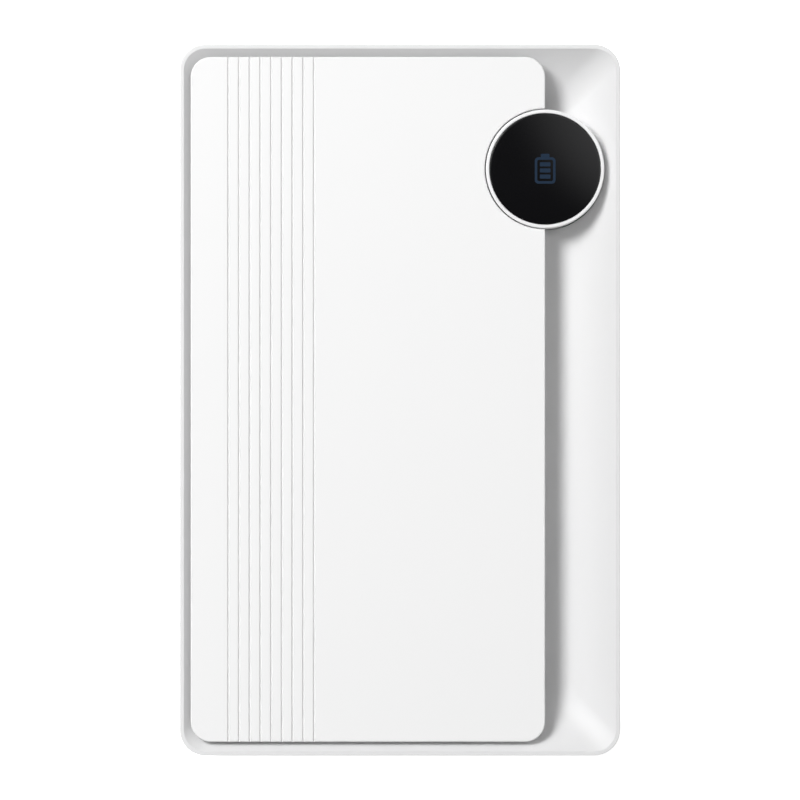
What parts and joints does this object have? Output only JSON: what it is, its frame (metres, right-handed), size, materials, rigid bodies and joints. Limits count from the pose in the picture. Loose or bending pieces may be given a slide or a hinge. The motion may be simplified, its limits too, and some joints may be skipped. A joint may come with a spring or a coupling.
{
  "type": "power bank",
  "caption": "Slim rectangular power bank with a dished front, a grooved cover panel and a round push button that lights a charge icon; ports at one end.",
  "frame": {"origin": "middle of the flat resting face at the back of the case", "axes": "+Z out of the front face, +Y towards the end with the ports, +X towards the side with the button"},
  "size_m": [0.07, 0.113, 0.0221],
  "materials": {
    "case_white": "fine satin moulded white",
    "panel_white": "satin moulded white, grooved",
    "ring_white": "semi-gloss moulded white",
    "lens_black": "polished piano black",
    "film_black": "printed film",
    "clear_plastic": "frosted clear moulded",
    "pouch_foil": "aluminium laminate pouch",
    "tape_amber": "polyimide tape",
    "tape_grey": "double-sided adhesive tape",
    "foam_grey": "fine open-cell foam",
    "nickel": "nickel-plated strip",
    "circuit_board": "green solder mask over glass fibre",
    "lead_red": "silicone wire cover",
    "lead_black": "silicone wire cover",
    "sensor_resin": "dipped resin",
    "screw_steel": "zinc-plated steel",
    "socket_steel": "nickel-plated stamped steel",
    "socket_black": "moulded black nylon",
    "chip_black": "moulded epoxy",
    "capacitor_can": "drawn aluminium can",
    "ceramic_tan": "fired ceramic chip parts",
    "carrier_white": "moulded white reflector plastic",
    "led_yellow": "phosphor under clear resin",
    "gold_pins": "gold-plated pins",
    "spring_steel": "drawn spring wire"
  },
  "bodies": {
    "case": {"back_shell": "case_white", "front_housing": "case_white", "front_panel": "panel_white", "panel_tape": "tape_grey", "lower_cell": "pouch_foil", "upper_cell": "pouch_foil", "cell_tape": "tape_amber", "bottom_foam_pad": "foam_grey", "top_foam_pad": "foam_grey", "cell_tabs": "nickel", "protection_board": "circuit_board", "battery_lead_red": "lead_red", "battery_lead_black": "lead_black", "thermistor": "sensor_resin", "main_board": "circuit_board", "board_screws": "screw_steel", "case_screws": "screw_steel", "usb_c_shell": "socket_steel", "usb_c_tongue": "socket_black", "usb_a_shell_left": "socket_steel", "usb_a_tongue_left": "socket_black", "usb_a_shell_right": "socket_steel", "usb_a_tongue_right": "socket_black", "power_inductor": "chip_black", "charger_chip": "chip_black", "controller_chip": "chip_black", "capacitors": "capacitor_can", "small_chips": "ceramic_tan", "tact_switch_body": "socket_black", "display_carrier": "carrier_white", "display_board": "circuit_board", "display_leds": "led_yellow", "display_pins": "gold_pins", "button_spring": "spring_steel"},
    "button": {"button_ring": "ring_white", "button_lens": "lens_black", "icon_film": "film_black", "light_guide": "clear_plastic"},
    "plunger": {"switch_plunger": "socket_black"}
  },
  "joints": [
    {"name": "button_press", "type": "slide", "parent": "case", "child": "button", "axis": [0, 0, -1], "range_m": [0, 0.0005], "stiffness_N_per_m": 1200, "springref_m": -0.0004, "deforming": ["button_spring"]},
    {"name": "switch_plunger_press", "type": "slide", "parent": "case", "child": "plunger", "axis": [0, 0, -1], "range_m": [0, 0.0005]}
  ],
  "couplings": [
    {"joint": "switch_plunger_press", "follows": "button_press", "ratio": 1}
  ]
}
